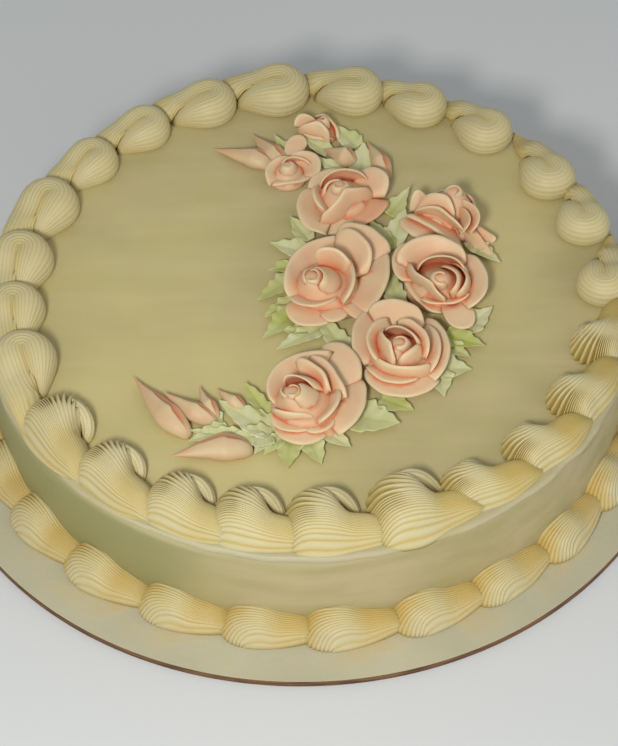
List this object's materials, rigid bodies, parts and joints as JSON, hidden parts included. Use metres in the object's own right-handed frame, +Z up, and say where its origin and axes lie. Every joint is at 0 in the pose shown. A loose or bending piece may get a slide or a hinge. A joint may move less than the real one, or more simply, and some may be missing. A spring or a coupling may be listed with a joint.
{
  "type": "round iced cake on board",
  "caption": "Round buttercream cake on a thin card board, with a piped curl border, a piped foot border and a spray of piped roses, buds and leaves.",
  "frame": {"origin": "middle of the board's underside, where the board rests", "axes": "+Z up from the board through the cake; -Y towards the side that the picture was taken from; +X to that picture's right"},
  "size_m": [0.3048, 0.3048, 0.067],
  "materials": {
    "board_card": "off-white coated card, dull satin, with a brown cut edge",
    "coating_icing": "smoothed ivory buttercream, soft satin",
    "border_icing": "piped ivory buttercream, soft satin, yellower in its creases",
    "petal_icing": "piped pale salmon-pink buttercream, cream along its lips",
    "leaf_icing": "piped pale green and white buttercream"
  },
  "bodies": {
    "root": {"cake_board": "board_card", "cake": "coating_icing", "top_shell_border": "border_icing", "foot_shell_border": "border_icing", "rose_1": "petal_icing", "rose_2": "petal_icing", "rose_3": "petal_icing", "rose_4": "petal_icing", "rose_5": "petal_icing", "rose_6": "petal_icing", "half_rose_1": "petal_icing", "half_rose_2": "petal_icing", "bud_1": "petal_icing", "bud_2": "petal_icing", "bud_3": "petal_icing", "bud_4": "petal_icing", "bud_5": "petal_icing", "bud_6": "petal_icing", "bud_7": "petal_icing", "bud_8": "petal_icing", "bud_9": "petal_icing", "leaf_1": "leaf_icing", "leaf_2": "leaf_icing", "leaf_3": "leaf_icing", "leaf_4": "leaf_icing", "leaf_5": "leaf_icing", "leaf_6": "leaf_icing", "leaf_7": "leaf_icing", "leaf_8": "leaf_icing", "leaf_9": "leaf_icing", "leaf_10": "leaf_icing", "leaf_11": "leaf_icing", "leaf_12": "leaf_icing", "leaf_13": "leaf_icing", "leaf_14": "leaf_icing", "leaf_15": "leaf_icing", "leaf_16": "leaf_icing", "leaf_17": "leaf_icing", "leaf_18": "leaf_icing", "leaf_19": "leaf_icing", "leaf_20": "leaf_icing", "leaf_21": "leaf_icing", "leaf_22": "leaf_icing", "leaf_23": "leaf_icing", "leaf_24": "leaf_icing", "leaf_25": "leaf_icing", "leaf_26": "leaf_icing"}
  },
  "joints": []
}
